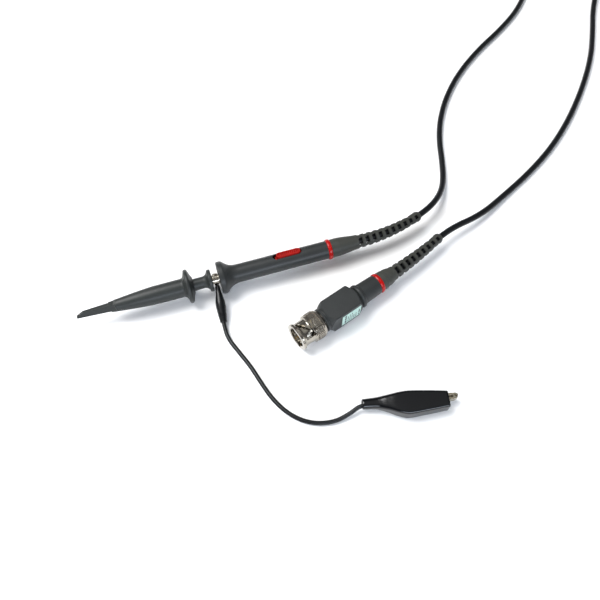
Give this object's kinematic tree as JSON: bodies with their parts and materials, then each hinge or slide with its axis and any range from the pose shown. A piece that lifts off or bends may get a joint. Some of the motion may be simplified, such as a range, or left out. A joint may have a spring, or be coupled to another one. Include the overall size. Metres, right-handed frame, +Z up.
{
  "type": "oscilloscope probe",
  "caption": "Passive oscilloscope probe: sprung hook tip, range switch, ground lead with alligator clip, coaxial cable and compensation box with bayonet plug.",
  "frame": {"origin": "on the surface that the probe lies on, under the middle of the box round the probe head and the compensation box, cord pieces left out", "axes": "+X along the probe head from hook tip to strain relief, +Z up from the surface"},
  "size_m": [0.3984, 0.3088, 0.0172],
  "materials": {
    "grey_plastic": "moulded satin, dark grey",
    "hook_plastic": "moulded satin, dark grey",
    "red_switch": "satin red",
    "red_ring": "gloss red",
    "nickel": "bright nickel plate",
    "spring_steel": "bright spring wire",
    "gold_contact": "gold-flashed contact",
    "black_vinyl": "glossy soft vinyl",
    "cable_jacket": "satin flexible jacket",
    "white_ptfe": "waxy white",
    "board": "solder mask",
    "part_body": "lacquered component",
    "ceramic": "ceramic chip",
    "label_stock": "pale printed label",
    "silicone": "silicone gasket",
    "tie_plastic": "black wire tie"
  },
  "bodies": {
    "probe": {"needle_tip": "gold_contact", "nose_insulator": "white_ptfe", "ground_barrel": "nickel", "probe_body": "grey_plastic", "attenuator_board": "board", "tip_resistor": "part_body", "damping_resistor": "part_body", "tip_capacitor": "ceramic", "head_ferrule": "nickel", "head_coding_ring": "red_ring", "head_strain_relief": "grey_plastic", "cable_run_head": "cable_jacket", "cable_coil": "cable_jacket", "coil_tie": "tie_plastic", "cable_run_box": "cable_jacket", "box_strain_relief": "grey_plastic", "box_ferrule": "nickel", "box_coding_ring": "red_ring", "box_rear_cap": "grey_plastic", "box_shell": "grey_plastic", "box_label": "label_stock", "comp_board": "board", "comp_resistor": "part_body", "trimmer_body": "ceramic", "bnc_plug_body": "nickel", "bnc_insulator": "white_ptfe", "bnc_centre_pin": "gold_contact", "bnc_gasket": "silicone", "bnc_spring_washer": "spring_steel"},
    "hook_tip": {"hook_core": "hook_plastic", "tip_socket": "gold_contact", "hook_wire": "gold_contact", "hook_spring": "spring_steel"},
    "sleeve": {"hook_sleeve": "hook_plastic"},
    "range_slider": {"range_switch": "red_switch", "switch_wiper": "gold_contact"},
    "ground_set": {"ground_ring_clip": "spring_steel", "ground_lead_boot": "black_vinyl", "ground_lead": "cable_jacket", "clip_boot": "black_vinyl", "clip_fixed_jaw": "nickel", "clip_pivot_pin": "nickel", "clip_spring": "spring_steel"},
    "clip_jaw": {"clip_moving_jaw": "nickel"},
    "bnc_nut": {"bnc_coupling_nut": "nickel"},
    "trimmer": {"trimmer_screw": "gold_contact"}
  },
  "joints": [
    {"name": "hook_tip_pull", "type": "slide", "parent": "probe", "child": "hook_tip", "axis": [-1, 0, 0], "range_m": [0, 0.025]},
    {"name": "hook_sleeve_slide", "type": "slide", "parent": "hook_tip", "child": "sleeve", "axis": [1, 0, 0], "range_m": [0, 0.005], "stiffness_N_per_m": 250, "springref_m": -0.003, "deforming": ["hook_spring"]},
    {"name": "range_switch_slide", "type": "slide", "parent": "probe", "child": "range_slider", "axis": [-1, 0, 0], "range_m": [0, 0.0018]},
    {"name": "ground_lead_swivel", "type": "hinge", "parent": "probe", "child": "ground_set", "pos_m": [-0.02498, 0.02022, 0.0086], "axis": [-1, 0, 0], "range_deg": [0, 180]},
    {"name": "clip_jaw_open", "type": "hinge", "parent": "ground_set", "child": "clip_jaw", "pos_m": [0.04739, -0.06781, 0.004], "axis": [0, 0, -1], "range_deg": [0, 18], "stiffness_Nm_per_rad": 0.06, "springref_deg": -20.05, "deforming": ["clip_boot"]},
    {"name": "bnc_nut_turn", "type": "hinge", "parent": "probe", "child": "bnc_nut", "pos_m": [0.01074, -0.01991, 0.00725], "axis": [0.9455, 0.3256, 0], "continuous": true},
    {"name": "trimmer_turn", "type": "hinge", "parent": "probe", "child": "trimmer", "pos_m": [0.0296, -0.00865, 0.00725], "axis": [-0.3256, 0.9455, 0], "continuous": true}
  ]
}
